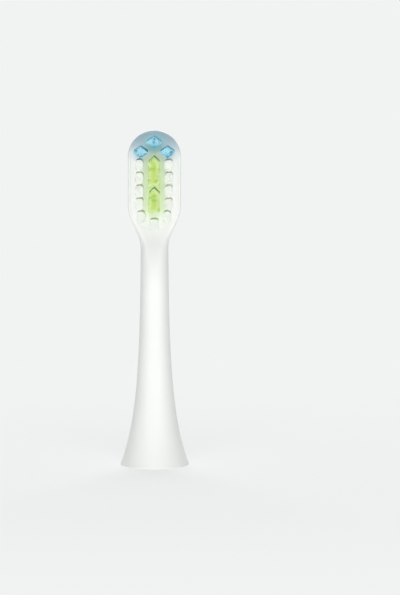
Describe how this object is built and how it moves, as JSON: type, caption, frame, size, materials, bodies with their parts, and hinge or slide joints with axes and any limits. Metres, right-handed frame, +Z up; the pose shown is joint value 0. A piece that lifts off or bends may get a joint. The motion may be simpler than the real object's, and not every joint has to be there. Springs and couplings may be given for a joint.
{
  "type": "electric toothbrush head",
  "caption": "Replacement head for an electric toothbrush: a flared hollow neck over a keyed drive socket, and an oval head with white, green and blue nylon tufts.",
  "frame": {"origin": "centre of the skirt's rim, on the neck's axis, at the level that the head stands on", "axes": "+Z up the neck to the tip of the head, the bristles point along -Y, +X to the right as seen from the bristle side"},
  "size_m": [0.0158, 0.0201, 0.077],
  "materials": {
    "body_plastic": "satin white moulded plastic",
    "plate_plastic": "satin white moulded plastic, slightly translucent",
    "socket_plastic": "natural acetal, moulded",
    "clip_steel": "stainless spring steel, rolled",
    "bristle_white": "white nylon filaments",
    "bristle_green": "translucent yellow-green nylon filaments",
    "bristle_blue": "translucent light blue nylon filaments"
  },
  "bodies": {
    "root": {"head_body": "body_plastic", "bristle_plate": "plate_plastic", "drive_socket": "socket_plastic", "shaft_clip": "clip_steel", "tuft_white_left_1": "bristle_white", "tuft_white_left_2": "bristle_white", "tuft_white_left_3": "bristle_white", "tuft_white_left_4": "bristle_white", "tuft_white_left_5": "bristle_white", "tuft_white_right_1": "bristle_white", "tuft_white_right_2": "bristle_white", "tuft_white_right_3": "bristle_white", "tuft_white_right_4": "bristle_white", "tuft_white_right_5": "bristle_white", "tuft_white_heel": "bristle_white", "tuft_green_upper": "bristle_green", "tuft_green_lower": "bristle_green", "tuft_blue_tip": "bristle_blue", "tuft_blue_left": "bristle_blue", "tuft_blue_right": "bristle_blue"}
  },
  "joints": []
}
